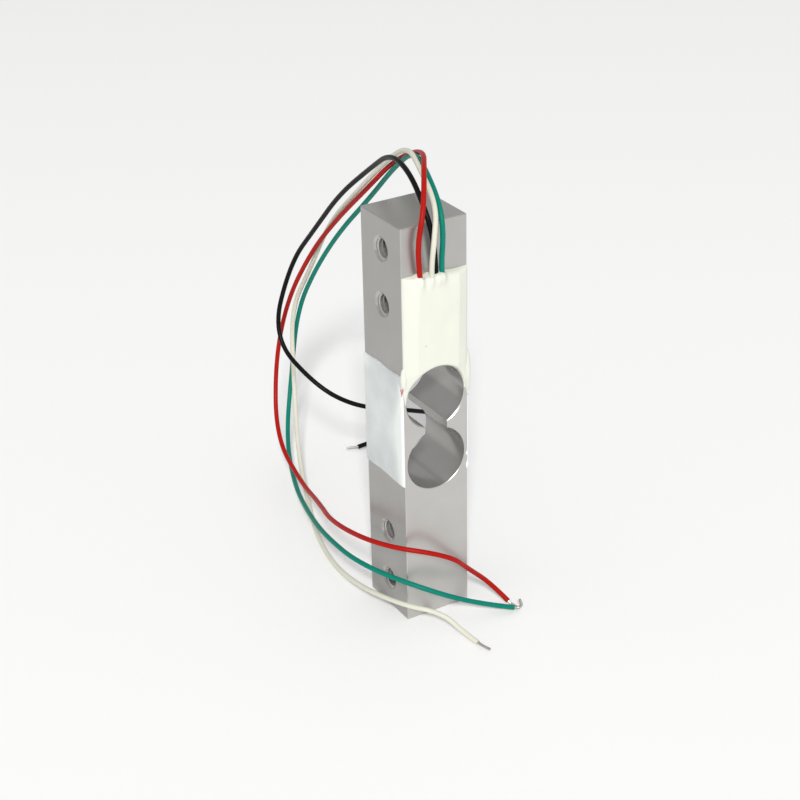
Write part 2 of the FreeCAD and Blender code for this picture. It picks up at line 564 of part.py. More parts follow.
def lead_joint(colour):
    """The stripped strands inside the coating and the solder that holds them to their pad."""
    start, onward = Vector(*LEADS[colour][0]), Vector(*LEADS[colour][1])
    tail = doc.addObject("Part::Prism", f"{colour}_inner_strands")
    tail.Polygon = WIRE_SIDES
    tail.setExpression("Circumradius", "dims.tail_radius")
    tail.setExpression("Height", "dims.tail_length")
    tail.Placement = FreeCAD.Placement(start, FreeCAD.Rotation(Vector(0, 0, 1), start - onward))
    keep(f"{colour}_inner_strands", tail)
    seat = "-dims.bar_width / 2 - dims.board_gauge - dims.pad_gauge"
    bead = doc.addObject("Part::Prism", f"{colour}_bead")
    bead.Polygon = WIRE_SIDES
    bead.setExpression("Circumradius", "dims.joint_radius")
    bead.setExpression("Height", "dims.joint_length")
    bead.setExpression("Placement.Base.x", str(LEAD_X[colour]))
    bead.setExpression("Placement.Base.y", f"{seat} - dims.joint_rise")
    bead.setExpression("Placement.Base.z", "dims.joint_bottom")
    under = box(f"{colour}_under_bead", ("2 * dims.joint_radius", "dims.joint_radius", "dims.joint_length"),
                (f"{LEAD_X[colour]} - dims.joint_radius", seat, "dims.joint_bottom"))
    dome = cut(f"{colour}_dome", bead, under)
    joint = cut(f"{colour}_solder_joint", dome, tail)
    keep(f"{colour}_solder_joint", joint)
    return [tail, dome]


def coating_lump():
    """The thick spot of coating where the jumpers go round the bar's right front edge."""
    rounding = "(dims.lump_half^2 + dims.lump_reach^2) / (2 * dims.lump_reach)"
    drum = doc.addObject("Part::Cylinder", "lump_drum")
    drum.setExpression("Radius", rounding)
    drum.setExpression("Height", "2 * dims.lump_depth")
    drum.Placement.Rotation = FreeCAD.Rotation(Vector(0, 0, 1), Vector(0, -1, 0))
    drum.setExpression("Placement.Base.x", f"dims.bar_width / 2 + dims.lump_reach - {rounding}")
    drum.setExpression("Placement.Base.y", "dims.lump_depth - dims.lump_inset")
    drum.setExpression("Placement.Base.z", "dims.lump_level")
    limit = box("lump_limit", ("dims.lump_reach + dims.edge_break", "2 * dims.lump_depth", "2 * dims.lump_half"),
                ("dims.bar_width / 2 - dims.edge_break", "-dims.lump_inset - dims.lump_depth",
                 "dims.lump_level - dims.lump_half"))
    segment = doc.addObject("Part::MultiCommon", "lump_segment")
    segment.Shapes = [drum, limit]
    corner = box("lump_corner", ("dims.bar_width / 2", "dims.bar_width / 2", "4 * dims.lump_half"),
                 ("0", "-dims.bar_width / 2", "dims.lump_level - 2 * dims.lump_half"))
    return cut("lump_round_corner", segment, corner)


def tip(colour):
    """The tinned strands past a lead's end: straight on for a stub, then bent."""
    before, end = Vector(*LEADS[colour][-2]), Vector(*LEADS[colour][-1])
    stub, rest = TIPS[colour]
    onward = end + (end - before).normalize() * stub
    tube(f"{colour}_tinned_tip", [tuple(end), tuple(onward)] + rest, "tail_radius")


spring_beam()
upper = cell("cutout_middle") + cell("cutout_spacing") / 2
lower = cell("cutout_middle") - cell("cutout_spacing") / 2
up, down = Vector(0, 0, 1), Vector(0, 0, -1)

under_skin, wiring = {}, []
for side_name, side in (("left", -1), ("right", 1)):
    outward = Vector(side, 0, 0)
    laid = gauge(f"{side_name}_upper", up.cross(outward), up, outward, upper)
    laid += gauge(f"{side_name}_lower", down.cross(outward), down, outward, lower)
    upper_tabs, lower_tabs = tab_centres(side, up, upper), tab_centres(side, down, lower)
    wires = jumpers(side_name, side, upper_tabs, lower_tabs)
    dots = solder_dots(f"{side_name}_dots", upper_tabs + lower_tabs, side)
    bundle = fuse(f"{side_name}_wires", wires)
    keep(f"{side_name}_solder_dots", cut(f"{side_name}_dots_cut", dots, bundle))
    under_skin[side_name] = {"gauges": fuse(f"{side_name}_gauges", laid), "wires": bundle, "dots": dots}
    wiring += wires

under_front = terminal() + wiring
for colour, route in LEADS.items():
    under_front += lead_joint(colour)
    under_front.append(tube(f"{colour}_lead", route, "lead_radius"))
    tip(colour)
front = front_coating()
for tool in under_front:
    front = cut(f"front_coating_over_{tool.Name}", front, tool)
keep("terminal_coating", front)

left = side_coating("left", -1)
for name, tool in under_skin["left"].items():
    left = cut(f"left_coating_over_{name}", left, tool)
keep("left_gauge_coating", left)
right = fuse("right_blank", [side_coating("right", 1), coating_lump()])
for name, tool in under_skin["right"].items():
    right = cut(f"right_coating_over_{name}", right, tool)
keep("right_gauge_coating", right)
doc.recompute()

for item in doc.Objects:
    if "Invalid" in item.State or "Error" in item.State:
        raise ValueError(f"{item.Name} did not build")
os.makedirs("parts", exist_ok=True)
for node, feature in parts.items():
    shape = feature.Shape
    if shape.isNull() or not shape.isValid() or not shape.Solids:
        raise ValueError(f"{node} has no sound solid")
    shape.exportStep(f"parts/{node}.step")
    print(f"{node}: {len(shape.Solids)} solid, {shape.Volume:.3f} mm3")
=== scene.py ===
"""Single point load cell: a square aluminium bar with a binocular cut-out, coated gauges and four loose leads.

Metres, in the part's own frame: the bar stands on its load end, +Z runs up it to the end that the leads leave,
the cut-out runs through along Y and the tapped holes along X. The soldered terminal is on the front (-Y) face.
"""
import math

import bmesh
import bpy
from mathutils import Matrix, Vector, noise
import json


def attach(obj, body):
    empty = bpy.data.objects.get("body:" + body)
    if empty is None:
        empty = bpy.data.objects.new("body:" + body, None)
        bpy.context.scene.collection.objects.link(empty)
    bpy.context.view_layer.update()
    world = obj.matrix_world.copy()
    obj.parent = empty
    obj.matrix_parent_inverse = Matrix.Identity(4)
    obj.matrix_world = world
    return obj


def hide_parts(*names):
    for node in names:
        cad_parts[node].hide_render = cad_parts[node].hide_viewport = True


MM = 0.001

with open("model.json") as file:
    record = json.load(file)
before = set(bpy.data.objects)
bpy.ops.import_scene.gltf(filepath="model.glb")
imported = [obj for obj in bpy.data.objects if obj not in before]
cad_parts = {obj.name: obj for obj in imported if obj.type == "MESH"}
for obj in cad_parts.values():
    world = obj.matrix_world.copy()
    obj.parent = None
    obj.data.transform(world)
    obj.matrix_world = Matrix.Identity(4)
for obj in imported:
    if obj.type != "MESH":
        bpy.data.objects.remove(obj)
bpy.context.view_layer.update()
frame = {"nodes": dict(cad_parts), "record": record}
scene = bpy.context.scene

# The bar, in millimetres: half its width and its length, the heights of the two rounds' centres, their radius,
# and half the width of the slot between them.
HALF = 6.35
LENGTH = 75.0
UPPER_ROUND = 43.25
LOWER_ROUND = 31.25
ROUND_RADIUS = 5.75
SLOT_HALF = 2.2

# The chamfer of the long edges and of the upper round's rim, and the level above which the front is painted
# darker as painted shade.
EDGE_BREAK = 0.15
RIM_BREAK = 0.19
SHADED_FRONT_LEVEL = 64.5

# The tapped holes: their heights, the tapping drill's radius, the countersink's radius and half its angle, the
# thread's pitch, and one turn of its section as (distance along, radius).
HOLE_LEVELS = (5.5, 15.5, 59.5, 69.5)
DRILL_RADIUS = 1.65
MOUTH_RADIUS = 2.3
MOUTH_ANGLE = 55
PITCH = 0.7
THREAD_TURN = ((0.0, 1.62), (0.09, 1.62), (0.32, 1.98), (0.38, 1.98), (0.61, 1.62))

# How bright each kind of surface is painted, as painted shade: the sides, the end and the upper front darker than
# the front, and the walls of the tapped holes and the cut-out darker than the front as shade in the recesses.
OUTSIDE_PAINTED_SHADE = {"dull front": 0.86, "front": 0.97, "side": 0.7, "end": 0.8}
OPENING_PAINTED_SHADE = {"tapped": 0.85, "cut-out": 0.68}

# The coats, in millimetres: their upper and lower outlines, how far they stay inside the bar's edges, how deep
# their backs sit in the bar, and where the four leads leave the front one.
FRONT_COAT_TOP = 66.15
FRONT_COAT_FOOT = {"left": 42.7, "right": 43.3}
FRONT_COAT_INSET = 0.02
SIDE_COAT_TOP = 48.3
SIDE_COAT_BOTTOM = 27.3
SIDE_COAT_INSET = 0.03
COAT_BED = 0.03
EXITS = (-3.33, -1.42, -0.13, 0.82)

# Each lead's centreline from its solder joint to its free end, in metres.
LEADS = {
    "red": [
        (-0.0029, -0.0071, 0.0626), (-0.0035, -0.0073, 0.0675), (-0.0039, -0.0077, 0.0725),
        (-0.0023, -0.0070, 0.0775), (0.0010, -0.0020, 0.0825), (0.0065, 0.0070, 0.0820),
        (0.0088, 0.0199, 0.0760), (0.0073, 0.0285, 0.0676), (0.0075, 0.0390, 0.0590),
        (0.0072, 0.0495, 0.0488), (0.0055, 0.0580, 0.0355), (0.0035, 0.0610, 0.0210),
        (-0.0010, 0.0535, 0.0080), (-0.0035, 0.0385, 0.0055), (-0.0070, 0.0245, 0.0090),
        (-0.0115, 0.0110, 0.0130), (-0.0110, -0.0050, 0.0165), (-0.0009, -0.0118, 0.0146),
        (0.0046, -0.0094, 0.0086), (0.0094, -0.0090, 0.0038), (0.0112, -0.0123, 0.0010),
    ],
    "green": [
        (0.00115, -0.0071, 0.0626), (0.0007, -0.0073, 0.0675), (0.0007, -0.0081, 0.0728),
        (0.0014, -0.0062, 0.0773), (0.0029, 0.0005, 0.0810), (0.0058, 0.0088, 0.0812),
        (0.0081, 0.0187, 0.0753), (0.0093, 0.0305, 0.0650), (0.0090, 0.0415, 0.0550),
        (0.0085, 0.0510, 0.0440), (0.0085, 0.0595, 0.0320), (0.0090, 0.0645, 0.0165),
        (0.0030, 0.0570, 0.0050), (-0.0030, 0.0425, 0.0030), (-0.0074, 0.0290, 0.0052),
        (-0.0110, 0.0155, 0.0080), (-0.0120, 0.0, 0.0100), (-0.0035, -0.0115, 0.0075),
        (0.0060, -0.0120, 0.0020), (0.0110, -0.0145, 0.0009),
    ],
    "white": [
        (-0.00095, -0.00715, 0.0626), (-0.0016, -0.0079, 0.0676), (-0.0016, -0.0090, 0.0728),
        (0.0005, -0.0064, 0.0776), (0.0020, 0.0010, 0.0815), (0.0050, 0.0095, 0.0820),
        (0.0075, 0.0205, 0.0760), (0.0080, 0.0315, 0.0670), (0.0085, 0.0445, 0.0560),
        (0.0085, 0.0530, 0.0435), (0.0075, 0.0605, 0.0320), (0.0070, 0.0600, 0.0170),
        (0.0020, 0.0500, 0.0055), (-0.0030, 0.0370, 0.0015), (-0.0080, 0.0230, 0.0006),
        (-0.0105, 0.0080, 0.0020), (-0.0085, -0.0070, 0.0045), (-0.0030, -0.0126, 0.0039),
        (-0.0011, -0.0164, 0.0012), (-0.0003, -0.0198, 0.0008),
    ],
    "black": [
        (0.00005, -0.0071, 0.0626), (-0.0002, -0.0071, 0.0674), (-0.0009, -0.0075, 0.0728),
        (-0.0015, -0.0064, 0.0771), (-0.0003, 0.0005, 0.0815), (0.0015, 0.0095, 0.0815),
        (0.0035, 0.0195, 0.0755), (0.0035, 0.0310, 0.0670), (0.0040, 0.0415, 0.0570),
        (0.0030, 0.0510, 0.0465), (-0.0017, 0.0513, 0.0317), (0.0013, 0.0392, 0.0251),
        (0.0078, 0.0354, 0.0205), (0.0155, 0.0330, 0.0188), (0.0295, 0.0365, 0.0120),
        (0.0330, 0.0485, 0.0012), (0.0245, 0.0532, 0.0006), (0.0175, 0.0525, 0.0006),
    ],
}
LEAD_RADIUS = 0.00045

# The camera: lens in millimetres, azimuth from the front, elevation and roll in degrees, and the point that it
# looks at and its distance from it in millimetres.
LENS = 80.13
VIEW_AZIMUTH, VIEW_ELEVATION, VIEW_ROLL = -30.722, 27.704, -1.251
VIEW_CENTRE = (-3.277, 0.0, 40.71)
VIEW_DISTANCE = 305.534

# The studio: the sky's strength, and the key lamp's power in watts, size and distance in metres, and direction.
SKY_STRENGTH = 0.58
KEY_POWER = 71.0
KEY_SIZE = 0.38
KEY_DISTANCE = 3.2
KEY_AZIMUTH, KEY_ELEVATION = -31.0, 38.0
KEY_TARGET = (0.0, 0.0, 0.035)
FLOOR_HALF = 3000.0


def away_from_part(azimuth, elevation):
    """The unit vector from the part towards a place at that azimuth from its front and that elevation."""
    turn, rise = math.radians(azimuth), math.radians(elevation)
    return Vector((math.sin(turn) * math.cos(rise), -math.cos(turn) * math.cos(rise), math.sin(rise)))


def camera():
    """Looks down at the near left edge of the bar, turned a little about its own line of sight."""
    data = bpy.data.cameras.new("camera")
    data.lens = LENS
    data.sensor_width = 36.0
    data.clip_start = 0.01
    eye = bpy.data.objects.new("camera", data)
    scene.collection.objects.link(eye)
    azimuth, roll = math.radians(VIEW_AZIMUTH), math.radians(VIEW_ROLL)
    back = away_from_part(VIEW_AZIMUTH, VIEW_ELEVATION)
    right = Vector((math.cos(azimuth), math.sin(azimuth), 0.0))
    up = back.cross(right)
    place = Vector(VIEW_CENTRE) + back * VIEW_DISTANCE
    turn = Matrix((right, up, back)).transposed().to_4x4()
    eye.matrix_world = Matrix.Translation(place * MM) @ turn @ Matrix.Rotation(roll, 4, "Z")
    scene.camera = eye


def shader(name):
    """A material with its Principled shader, and a function that adds a node to it."""
    material = bpy.data.materials.new(name)
    material.use_nodes = True
    nodes, links = material.node_tree.nodes, material.node_tree.links
    surface = nodes["Principled BSDF"]

    def add(kind, **settings):
        node = nodes.new(kind)
        for key, value in settings.items():
            setattr(node, key, value)
        return node

    return material, surface, add, links


def new_group(name, inputs, outputs):
    """A shader node group with the named sockets; each input is (name, kind, default)."""
    tree = bpy.data.node_groups.new(name, "ShaderNodeTree")
    for label, kind, default in inputs:
        socket = tree.interface.new_socket(label, in_out="INPUT", socket_type=kind)
        if default is not None:
            socket.default_value = default
    for label, kind in outputs:
        tree.interface.new_socket(label, in_out="OUTPUT", socket_type=kind)
    return tree, tree.nodes.new("NodeGroupInput"), tree.nodes.new("NodeGroupOutput")


def cloud_group():
    """Slow, cloudy variation: a value about 0.5 that wanders by the amount."""
    tree, given, result = new_group(
        "cloudy_variation",
        [("Scale", "NodeSocketFloat", 200.0), ("Amount", "NodeSocketFloat", 0.2)],
        [("Value", "NodeSocketFloat")],
    )
    place = tree.nodes.new("ShaderNodeTexCoord")
    cloud = tree.nodes.new("ShaderNodeTexNoise")
    cloud.inputs["Detail"].default_value = 4.0
    spread = tree.nodes.new("ShaderNodeMath")
    spread.operation = "SUBTRACT"
    spread.inputs[1].default_value = 0.5
    strength = tree.nodes.new("ShaderNodeMath")
    strength.operation = "MULTIPLY_ADD"
    strength.inputs[2].default_value = 0.5
    tree.links.new(place.outputs["Object"], cloud.inputs["Vector"])
    tree.links.new(given.outputs["Scale"], cloud.inputs["Scale"])
    tree.links.new(cloud.outputs["Fac"], spread.inputs[0])
    tree.links.new(spread.outputs[0], strength.inputs[0])
    tree.links.new(given.outputs["Amount"], strength.inputs[1])
    tree.links.new(strength.outputs[0], result.inputs["Value"])
    return tree


def grain_group():
    """Fine parallel lines from stretched noise; the stretch is how fast they change along each axis."""
    tree, given, result = new_group(
        "tool_lines",
        [("Stretch", "NodeSocketVector", (9000.0, 9000.0, 150.0))],
        [("Value", "NodeSocketFloat")],
    )
    place = tree.nodes.new("ShaderNodeTexCoord")
    stretch = tree.nodes.new("ShaderNodeVectorMath")
    stretch.operation = "MULTIPLY"
    lines = tree.nodes.new("ShaderNodeTexNoise")
    lines.inputs["Scale"].default_value = 1.0
    lines.inputs["Detail"].default_value = 3.0
    tree.links.new(place.outputs["Object"], stretch.inputs[0])
    tree.links.new(given.outputs["Stretch"], stretch.inputs[1])
    tree.links.new(stretch.outputs["Vector"], lines.inputs["Vector"])
    tree.links.new(lines.outputs["Fac"], result.inputs["Value"])
    return tree


def speck_group():
    """Sparse small specks: 1 inside a speck and 0 elsewhere."""
    tree, given, result = new_group(
        "sparse_specks",
        [("Scale", "NodeSocketFloat", 400.0), ("Size", "NodeSocketFloat", 0.08)],
        [("Value", "NodeSocketFloat")],
    )
    place = tree.nodes.new("ShaderNodeTexCoord")
    cells = tree.nodes.new("ShaderNodeTexVoronoi")
    inside = tree.nodes.new("ShaderNodeMath")
    inside.operation = "LESS_THAN"
    tree.links.new(place.outputs["Object"], cells.inputs["Vector"])
    tree.links.new(given.outputs["Scale"], cells.inputs["Scale"])
    tree.links.new(cells.outputs["Distance"], inside.inputs[0])
    tree.links.new(given.outputs["Size"], inside.inputs[1])
    tree.links.new(inside.outputs[0], result.inputs["Value"])
    return tree


GROUPS = {"cloud": cloud_group(), "grain": grain_group(), "speck": speck_group()}


def effect(add, kind, **values):
    """One of the shared effects, with its own values."""
    node = add("ShaderNodeGroup", node_tree=GROUPS[kind])
    for socket, value in values.items():
        node.inputs[socket].default_value = value
    return node


def blend_colour(add, links, mask, low, high):
    """A colour that goes from low to high with the mask."""
    ramp = add("ShaderNodeValToRGB")
    ramp.color_ramp.elements[0].color = (*low, 1.0)
    ramp.color_ramp.elements[1].color = (*high, 1.0)
    links.new(mask, ramp.inputs["Fac"])
    return ramp.outputs["Color"]


def range_of(add, links, mask, low, high):
    """A number that goes from low to high with the mask."""
    spread = add("ShaderNodeMapRange")
    spread.inputs["To Min"].default_value = low
    spread.inputs["To Max"].default_value = high
    links.new(mask, spread.inputs["Value"])
    return spread.outputs["Result"]


def raised(add, links, surface, height, strength, distance):
    """Bumps the surface by the height."""
    bump = add("ShaderNodeBump")
    bump.inputs["Strength"].default_value = strength
    bump.inputs["Distance"].default_value = distance
    links.new(height, bump.inputs["Height"])
    links.new(bump.outputs["Normal"], surface.inputs["Normal"])


def own_value(add, name):
    """A value that the mesh itself carries."""
    carried = add("ShaderNodeAttribute", attribute_name=name)
    return carried.outputs["Fac"]


def blend_value(add, links, mask, low, high):
    """A number that goes from one link's value to another's with the mask."""
    mix = add("ShaderNodeMix", data_type="FLOAT")
    links.new(mask, mix.inputs[0])
    links.new(low, mix.inputs[2])
    links.new(high, mix.inputs[3])
    return mix.outputs[0]


def aluminium():
    """Satin aluminium: drawn lines along the bar outside, cutter lines across the walls of the openings."""
    material, surface, add, links = shader("satin_aluminium")
    surface.inputs["Specular IOR Level"].default_value = 0.3
    cloud = effect(add, "cloud", Scale=150.0, Amount=0.9)
    drawn = effect(add, "grain", Stretch=(9000.0, 9000.0, 150.0))
    cut = effect(add, "grain", Stretch=(300.0, 2400.0, 300.0))
    lines = blend_value(add, links, own_value(add, "opening"), drawn.outputs["Value"], cut.outputs["Value"])
    tint = blend_colour(add, links, cloud.outputs["Value"], (0.50, 0.485, 0.46), (0.60, 0.59, 0.575))
    # The base colour is scaled per face by painted shade: darker sides, end, upper front and opening walls.
    shade = add("ShaderNodeVectorMath", operation="SCALE")
    links.new(tint, shade.inputs["Vector"])
    links.new(own_value(add, "painted_shade"), shade.inputs["Scale"])
    links.new(shade.outputs["Vector"], surface.inputs["Base Color"])
    shine = range_of(add, links, own_value(add, "opening"), 0.75, 0.62)
    links.new(shine, surface.inputs["Metallic"])
    outside = range_of(add, links, lines, 0.28, 0.42)
    inside = range_of(add, links, lines, 0.16, 0.30)
    rough = blend_value(add, links, own_value(add, "opening"), outside, inside)
    links.new(rough, surface.inputs["Roughness"])
    raised(add, links, surface, lines, 0.08, 0.00002)
    return material


def coating(name, thin, full, speck, rough, bump):
    """Cured silicone coating: whiter where it is full, with cloudy thickness, sparse specks and a soft gloss."""
    material, surface, add, links = shader(name)
    surface.inputs["Coat Weight"].default_value = 0.2
    surface.inputs["Coat Roughness"].default_value = 0.2
    cloud = effect(add, "cloud", Scale=260.0, Amount=1.1)
    specks = effect(add, "speck", Scale=190.0, Size=0.05)
    fill = add("ShaderNodeMath", operation="MULTIPLY_ADD")
    links.new(cloud.outputs["Value"], fill.inputs[0])
    fill.inputs[1].default_value = 0.4
    links.new(own_value(add, "fullness"), fill.inputs[2])
    tint = blend_colour(add, links, fill.outputs[0], thin, full)
    marked = add("ShaderNodeMix", data_type="RGBA")
    links.new(specks.outputs["Value"], marked.inputs[0])
    links.new(tint, marked.inputs[6])
    marked.inputs[7].default_value = (*speck, 1.0)
    links.new(marked.outputs[2], surface.inputs["Base Color"])
    shine = range_of(add, links, specks.outputs["Value"], rough, rough + 0.3)
    links.new(shine, surface.inputs["Roughness"])
    raised(add, links, surface, cloud.outputs["Value"], bump, 0.0003)
    return material


def smooth_plastic(name, low, high, rough=0.34):
    """Wire insulation, enamel, film or board: nearly even colour, a soft gloss, faint handling marks."""
    material, surface, add, links = shader(name)
    surface.inputs["Specular IOR Level"].default_value = 0.09
    cloud = effect(add, "cloud", Scale=420.0, Amount=1.0)
    tint = blend_colour(add, links, cloud.outputs["Value"], low, high)
    links.new(tint, surface.inputs["Base Color"])
    shine = range_of(add, links, cloud.outputs["Value"], rough - 0.07, rough + 0.1)
    links.new(shine, surface.inputs["Roughness"])
    fine = effect(add, "cloud", Scale=2500.0, Amount=1.0)
    raised(add, links, surface, fine.outputs["Value"], 0.1, 0.00003)
    return material


def metal(name, low, high, rough):
    """Bare metal of the foils, pads, solder and tinned strands."""
    material, surface, add, links = shader(name)
    surface.inputs["Metallic"].default_value = 0.95
    cloud = effect(add, "cloud", Scale=1500.0, Amount=1.2)
    tint = blend_colour(add, links, cloud.outputs["Value"], low, high)
    links.new(tint, surface.inputs["Base Color"])
    shine = range_of(add, links, cloud.outputs["Value"], rough - 0.08, rough + 0.12)
    links.new(shine, surface.inputs["Roughness"])
    raised(add, links, surface, cloud.outputs["Value"], 0.2, 0.00004)
    return material


FINISH = {
    "aluminium": aluminium(),
    "terminal_coating": coating("ivory_silicone", (0.62, 0.63, 0.575), (0.735, 0.755, 0.655), (0.5, 0.5, 0.43),
                                0.42, 0.05),
    "gauge_coating": coating("grey_white_silicone", (0.38, 0.42, 0.43), (0.79, 0.82, 0.79),
                             (0.45, 0.49, 0.49), 0.24, 0.08),
    "carrier_film": smooth_plastic("amber_film", (0.42, 0.24, 0.06), (0.52, 0.31, 0.09), 0.2),
    "foil": metal("grid_foil", (0.48, 0.42, 0.34), (0.58, 0.52, 0.43), 0.35),
    "board": smooth_plastic("green_board", (0.03, 0.16, 0.08), (0.05, 0.22, 0.11), 0.3),
    "copper": metal("copper_pad", (0.62, 0.34, 0.2), (0.75, 0.44, 0.28), 0.35),
    "solder": metal("solder", (0.52, 0.52, 0.51), (0.68, 0.68, 0.67), 0.3),
    "enamelled_wire": smooth_plastic("red_enamel", (0.50, 0.05, 0.08), (0.66, 0.11, 0.14), 0.2),
    "tinned_strands": metal("tinned_strands", (0.40, 0.37, 0.33), (0.62, 0.60, 0.56), 0.38),
    "red_insulation": smooth_plastic("red_insulation", (0.36, 0.007, 0.004), (0.41, 0.011, 0.006)),
    "green_insulation": smooth_plastic("green_insulation", (0.003, 0.18, 0.13), (0.004, 0.22, 0.16)),
    "white_insulation": smooth_plastic("white_insulation", (0.64, 0.635, 0.53), (0.71, 0.705, 0.60)),
    "black_insulation": smooth_plastic("black_insulation", (0.004, 0.004, 0.0045), (0.007, 0.007, 0.0075)),
}


def finish_piece(obj, slot):
    """Gives the piece its material and the record's slot of that finish, and lets it ride on the part."""
    obj.data.materials.clear()
    obj.data.materials.append(FINISH[slot])
    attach(obj, "root")
    return obj


def piece(name, shape):
    """A mesh object from a finished bmesh in millimetres, with smooth shading under 35 degrees."""
    bmesh.ops.scale(shape, vec=(MM, MM, MM), verts=shape.verts)
    bmesh.ops.recalc_face_normals(shape, faces=shape.faces)
    mesh = bpy.data.meshes.new(name)
    shape.to_mesh(mesh)
    shape.free()
    mesh.shade_smooth()
    mesh.set_sharp_from_angle(angle=math.radians(35))
    obj = bpy.data.objects.new(name, mesh)
    scene.collection.objects.link(obj)
    return obj


def cord_curve(name, points, radius):
    """A round cord on one smooth open spline whose control points are the route."""
    data = bpy.data.curves.new(name, "CURVE")
    data.dimensions = "3D"
    spline = data.splines.new("NURBS")
    spline.points.add(len(points) - 1)
    for control, place in zip(spline.points, points):
        control.co = (*place, 1.0)
    spline.order_u = 3
    spline.use_endpoint_u = True
    spline.resolution_u = 12
    data.bevel_depth = radius
    data.bevel_resolution = 5
    data.use_fill_caps = True
    obj = bpy.data.objects.new(name, data)
    scene.collection.objects.link(obj)
    return obj


def leads():
    """The four loose leads' insulated cords, in place of the CAD leads; their tinned tips are not made here."""
    for colour, route in LEADS.items():
        lead = cord_curve(f"{colour}_cord", route, LEAD_RADIUS)
        finish_piece(lead, f"{colour}_insulation")
        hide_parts(f"{colour}_lead")


def cut_away(obj, cutter):
    """Cuts the closed cutter out of the closed piece and removes the cutter."""
    modifier = obj.modifiers.new("cut", "BOOLEAN")
    modifier.operation = "DIFFERENCE"
    modifier.solver = "MANIFOLD"
    modifier.object = cutter
    graph = bpy.context.evaluated_depsgraph_get()
    result = bpy.data.meshes.new_from_object(obj.evaluated_get(graph))
    obj.modifiers.remove(modifier)
    obj.data = result
    bpy.data.objects.remove(cutter)


def turned(profile, steps, climb=0.0):
    """A closed form turned about the X axis from its (x, radius) profile; climb is its advance in one turn."""
    shape = bmesh.new()
    line = [shape.verts.new((x, radius, 0.0)) for x, radius in profile]
    edges = [shape.edges.new(pair) for pair in zip(line, line[1:])]
    bmesh.ops.spin(shape, geom=line + edges, cent=(0, 0, 0), axis=(1, 0, 0), dvec=(climb / steps, 0, 0),
                   angle=2 * math.pi, steps=steps)
    bmesh.ops.remove_doubles(shape, verts=shape.verts, dist=0.001)
    rims = [edge for edge in shape.edges if edge.is_boundary]
    bmesh.ops.holes_fill(shape, edges=rims, sides=0)
    bmesh.ops.triangulate(shape, faces=shape.faces)
    return shape


def drill(level):
    """The tapping drill with its countersinks, to cut one hole through the bar along X."""
    over = 0.3
    slope = math.tan(math.radians(MOUTH_ANGLE))
    wide = MOUTH_RADIUS + over * slope
    mouth = HALF - (MOUTH_RADIUS - DRILL_RADIUS) / slope
    shape = turned([(-HALF - over, wide), (-mouth, DRILL_RADIUS), (mouth, DRILL_RADIUS), (HALF + over, wide)], 64)
    bmesh.ops.translate(shape, vec=(0, 0, level), verts=shape.verts)
    return piece(f"drill_{level:.0f}", shape)


def thread_cutter(level):
    """A screw as long as the bar is wide, standing past both faces, to cut one tapped hole."""
    turns = int(2 * (HALF + 1.4) / PITCH)
    start = -turns * PITCH / 2
    profile = []
    for turn in range(turns):
        foot = start + turn * PITCH
        profile += [(foot + along, radius) for along, radius in THREAD_TURN]
    profile.append((start + turns * PITCH, THREAD_TURN[0][1]))
    shape = turned(profile, 40, PITCH)
    bmesh.ops.translate(shape, vec=(0, 0, level), verts=shape.verts)
    return piece(f"thread_cutter_{level:.0f}", shape)


def round_cutter(level):
    """A fine cylinder along Y, to cut one round of the cut-out."""
    shape = turned([(-HALF - 1, ROUND_RADIUS), (HALF + 1, ROUND_RADIUS)], 120)
    bmesh.ops.rotate(shape, cent=(0, 0, 0), matrix=Matrix.Rotation(math.pi / 2, 3, "Z"), verts=shape.verts)
    bmesh.ops.translate(shape, vec=(0, 0, level), verts=shape.verts)
    return piece(f"round_cutter_{level:.0f}", shape)


def block(size, centre):
    """A plain box."""
    shape = bmesh.new()
    bmesh.ops.create_cube(shape, size=1.0)
    bmesh.ops.scale(shape, vec=size, verts=shape.verts)
    bmesh.ops.translate(shape, vec=centre, verts=shape.verts)
    return shape


def break_rims(bar):
    """A fine chamfer on the rims of the cut-out's two rounds, half as wide on the lower one.

    It also divides the bar's faces at the level above which the front is painted darker as painted shade.
    """
    shape = bmesh.new()
    shape.from_mesh(bar.data)
    junction = math.sqrt(ROUND_RADIUS ** 2 - SLOT_HALF ** 2)
    for level, width, side in ((UPPER_ROUND, RIM_BREAK, 1), (LOWER_ROUND, RIM_BREAK / 2, -1)):
        rims = []
        for edge in shape.edges:
            ends = [vert.co / MM for vert in edge.verts]
            on_face = abs(abs(ends[0].y) - HALF) < 0.001 and abs(ends[0].y - ends[1].y) < 0.001
            on_round = all(abs(math.hypot(end.x, end.z - level) - ROUND_RADIUS) < 0.02 for end in ends)
            outer = all((end.z - level) * side > -junction - 0.01 for end in ends)
            if on_face and on_round and outer and len(edge.link_faces) == 2:
                rims.append(edge)
        bmesh.ops.bevel(shape, geom=rims, offset=width * MM, segments=1, affect="EDGES")
    bmesh.ops.bisect_plane(shape, geom=shape.verts[:] + shape.edges[:] + shape.faces[:],
                           plane_co=(0.0, 0.0, SHADED_FRONT_LEVEL * MM), plane_no=(0.0, 0.0, 1.0))
    shape.to_mesh(bar.data)
    shape.free()


